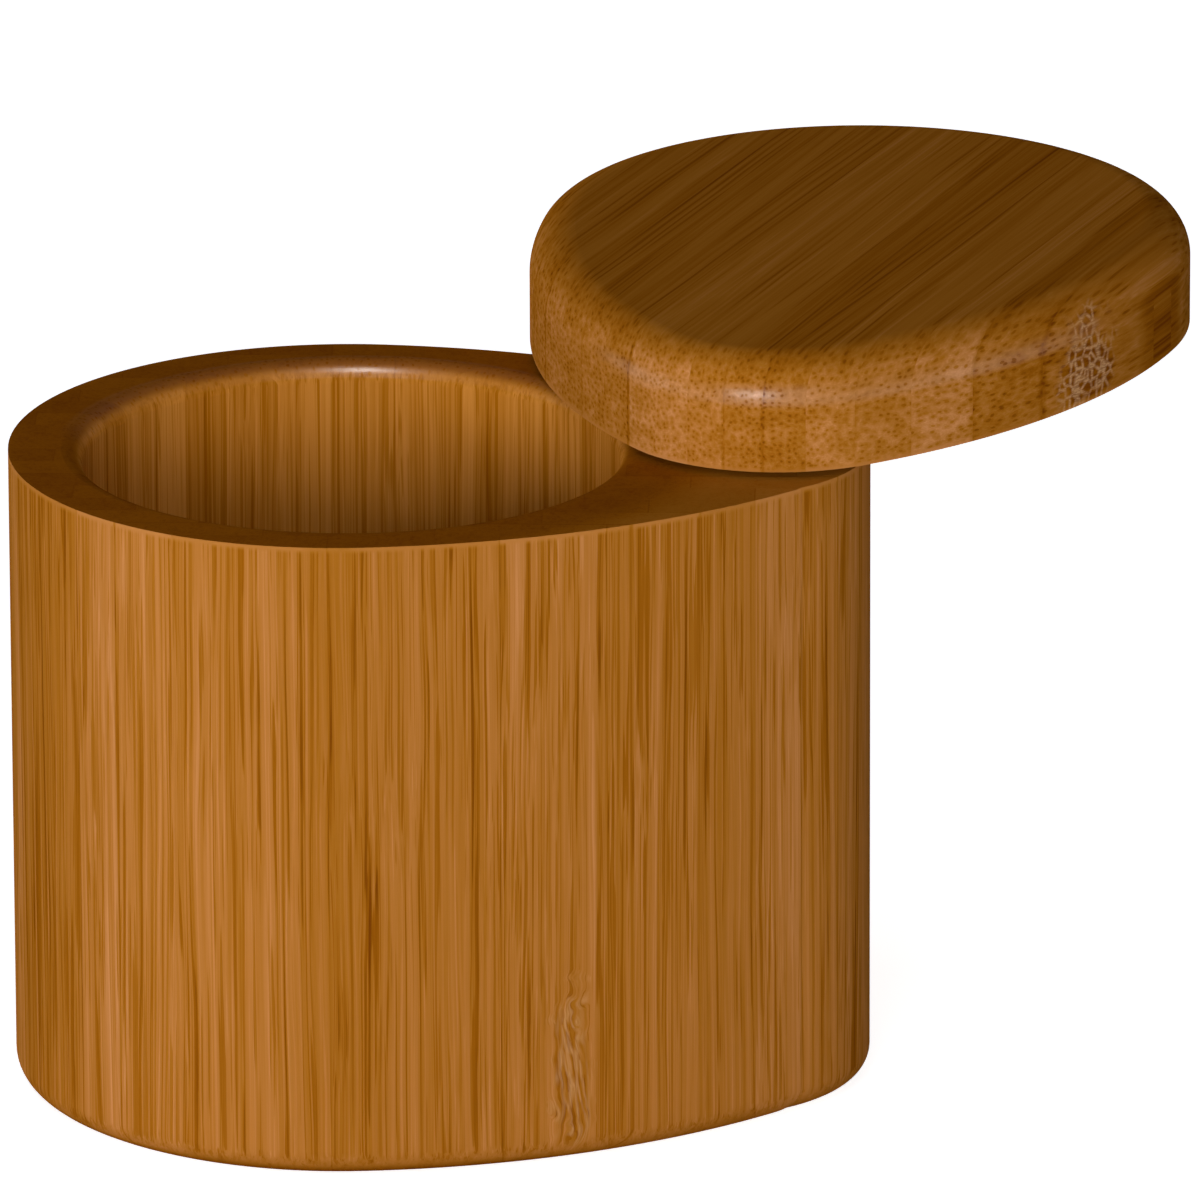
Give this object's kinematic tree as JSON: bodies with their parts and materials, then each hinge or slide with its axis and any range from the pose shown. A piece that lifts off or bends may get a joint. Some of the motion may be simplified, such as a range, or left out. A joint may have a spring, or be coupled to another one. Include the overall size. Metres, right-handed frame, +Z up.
{
  "type": "salt box",
  "caption": "Egg-shaped bamboo salt box with a deep round bore and a matching lid that swivels sideways on an upright steel pin.",
  "frame": {"origin": "middle of the underside of the body, halfway between the tips of its two round ends", "axes": "+X along the body towards the small end, where the pin is, +Z up out of the salt bore, +Y to the back"},
  "size_m": [0.1434, 0.1307, 0.0949],
  "materials": {
    "body_bamboo": "upright-grain bamboo boards glued face to face, rubbed with oil to a satin finish",
    "lid_bamboo": "bamboo strips glued on edge, grain along the lid, oiled to a satin finish",
    "steel": "turned and polished along its length",
    "nylon": "natural nylon, as moulded"
  },
  "bodies": {
    "box": {"body_board_01": "body_bamboo", "body_board_02": "body_bamboo", "body_board_03": "body_bamboo", "body_board_04": "body_bamboo", "body_board_05": "body_bamboo", "body_board_06": "body_bamboo", "body_board_07": "body_bamboo", "body_board_08": "body_bamboo", "body_board_09": "body_bamboo", "body_board_10": "body_bamboo", "body_board_11": "body_bamboo", "body_board_12": "body_bamboo", "body_board_13": "body_bamboo", "body_board_14": "body_bamboo", "body_board_15": "body_bamboo", "body_board_16": "body_bamboo", "body_board_17": "body_bamboo", "pivot_bush": "nylon", "spacer_washer": "nylon"},
    "lid": {"lid_strip_01": "lid_bamboo", "lid_strip_02": "lid_bamboo", "lid_strip_03": "lid_bamboo", "lid_strip_04": "lid_bamboo", "lid_strip_05": "lid_bamboo", "lid_strip_06": "lid_bamboo", "lid_strip_07": "lid_bamboo", "lid_strip_08": "lid_bamboo", "lid_strip_09": "lid_bamboo", "lid_strip_10": "lid_bamboo", "lid_strip_11": "lid_bamboo", "lid_strip_12": "lid_bamboo", "lid_strip_13": "lid_bamboo", "lid_strip_14": "lid_bamboo", "lid_strip_15": "lid_bamboo", "lid_strip_16": "lid_bamboo", "lid_strip_17": "lid_bamboo", "pivot_pin": "steel"}
  },
  "joints": [
    {"name": "lid_swivel", "type": "hinge", "parent": "box", "child": "lid", "pos_m": [0.03925, 0, 0.0809], "axis": [0, 0, 1], "continuous": true}
  ]
}
